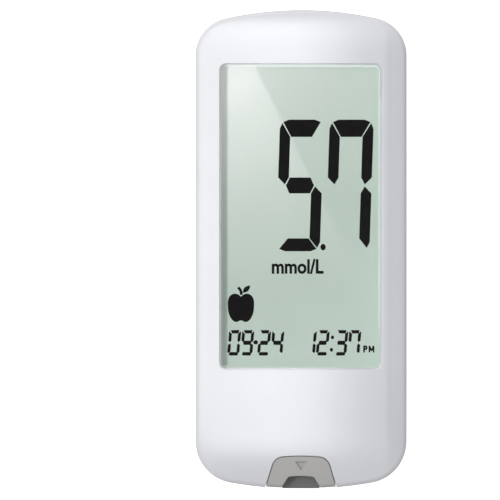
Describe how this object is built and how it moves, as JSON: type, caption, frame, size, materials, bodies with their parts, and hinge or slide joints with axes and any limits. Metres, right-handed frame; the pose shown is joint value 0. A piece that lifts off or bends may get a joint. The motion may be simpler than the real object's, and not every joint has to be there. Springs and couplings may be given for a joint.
{
  "type": "blood glucose meter",
  "caption": "Slim hand-held blood glucose meter with a large display, a strip port with a sliding ejector, side buttons and a battery door.",
  "frame": {"origin": "middle of the back face, under the middle of the case", "axes": "+Z out of the display, +Y towards the upper end of the display, -Y out of the strip port, +X to the right as the display is read"},
  "size_m": [0.046, 0.1044, 0.016],
  "materials": {
    "case_front": "satin moulded plastic",
    "case_back": "fine texture",
    "window": "clear polished",
    "foam": "closed-cell foam",
    "lcd_face": "antiglare film",
    "lcd_glass": "clear",
    "lcd_reflector": "diffuse film",
    "frame_plastic": "moulded",
    "elastomer": "silicone",
    "board": "solder mask",
    "chip_black": "moulded resin",
    "chip_brown": "matt",
    "tin": "tinned",
    "switch_black": "moulded",
    "connector_black": "moulded",
    "gold": "gold plated",
    "guide_grey": "satin",
    "ejector_grey": "satin",
    "spring_steel": "drawn wire",
    "cell_steel": "nickel plated",
    "screw_steel": "zinc plated",
    "button_grey": "satin",
    "plunger": "moulded",
    "label": "blank foil label"
  },
  "bodies": {
    "case": {"front_shell": "case_front", "rear_shell": "case_back", "display_window": "window", "display_gasket": "foam", "front_polarizer": "lcd_face", "lcd_front_glass": "lcd_glass", "lcd_rear_glass": "lcd_glass", "lcd_reflector": "lcd_reflector", "lcd_frame": "frame_plastic", "zebra_connector": "elastomer", "main_board": "board", "microcontroller": "chip_black", "chip_parts": "chip_brown", "crystal": "tin", "buzzer": "chip_black", "thermistor": "chip_brown", "tact_switches": "switch_black", "strip_connector": "connector_black", "strip_contacts": "gold", "strip_guide": "guide_grey", "ejector_springs": "spring_steel", "upper_cell": "cell_steel", "lower_cell": "cell_steel", "negative_contacts": "tin", "positive_contacts": "tin", "case_screws": "screw_steel", "rating_label": "label"},
    "ejector": {"strip_ejector": "ejector_grey"},
    "up": {"up_button": "button_grey", "up_plunger": "plunger"},
    "down": {"down_button": "button_grey", "down_plunger": "plunger"},
    "power": {"power_button": "button_grey", "power_plunger": "plunger"},
    "door": {"battery_door": "case_back"}
  },
  "joints": [
    {"name": "eject_slide", "type": "slide", "parent": "case", "child": "ejector", "axis": [0, -1, 0], "range_m": [0, 0.003], "stiffness_N_per_m": 600, "springref_m": -0.001, "deforming": ["ejector_springs"]},
    {"name": "up_press", "type": "slide", "parent": "case", "child": "up", "axis": [-1, 0, 0], "range_m": [0, 0.0005], "stiffness_N_per_m": 2000, "springref_m": -0.0002},
    {"name": "down_press", "type": "slide", "parent": "case", "child": "down", "axis": [-1, 0, 0], "range_m": [0, 0.0005], "stiffness_N_per_m": 2000, "springref_m": -0.0002},
    {"name": "power_press", "type": "slide", "parent": "case", "child": "power", "axis": [1, 0, 0], "range_m": [0, 0.0005], "stiffness_N_per_m": 2000, "springref_m": -0.0002},
    {"name": "door_hinge", "type": "hinge", "parent": "case", "child": "door", "pos_m": [0, 0.0258, 0], "axis": [1, 0, 0], "range_deg": [0, 90]}
  ]
}
